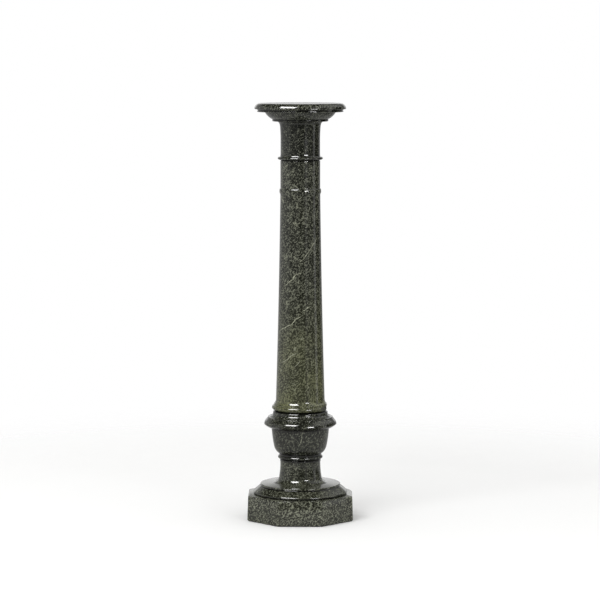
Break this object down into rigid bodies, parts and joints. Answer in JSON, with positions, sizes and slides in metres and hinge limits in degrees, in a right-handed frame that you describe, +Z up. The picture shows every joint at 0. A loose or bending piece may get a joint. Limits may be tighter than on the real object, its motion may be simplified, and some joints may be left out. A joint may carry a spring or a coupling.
{
  "type": "marble pedestal column",
  "caption": "Turned dark green marble pedestal column with an octagonal plinth, a moulded round foot, a bowl-shaped member, a tapering shaft and a round moulded top.",
  "frame": {"origin": "middle of the plinth's flat underside, on the floor", "axes": "+Z up along the column's axis, -Y towards the front flat of the octagonal plinth, +X to the right"},
  "size_m": [0.264, 0.264, 1.04],
  "materials": {
    "plinth_marble": "polished dark green marble, densely flecked",
    "foot_marble": "polished dark green marble, finely flecked",
    "bowl_marble": "polished near-black green marble with hair-thin pale veins",
    "shaft_marble": "polished olive green marble with pale slanting veins",
    "capital_marble": "polished near-black green marble",
    "top_marble": "polished near-black green marble"
  },
  "bodies": {
    "root": {"plinth": "plinth_marble", "foot": "foot_marble", "bowl": "bowl_marble", "shaft": "shaft_marble", "capital": "capital_marble", "top": "top_marble"}
  },
  "joints": []
}
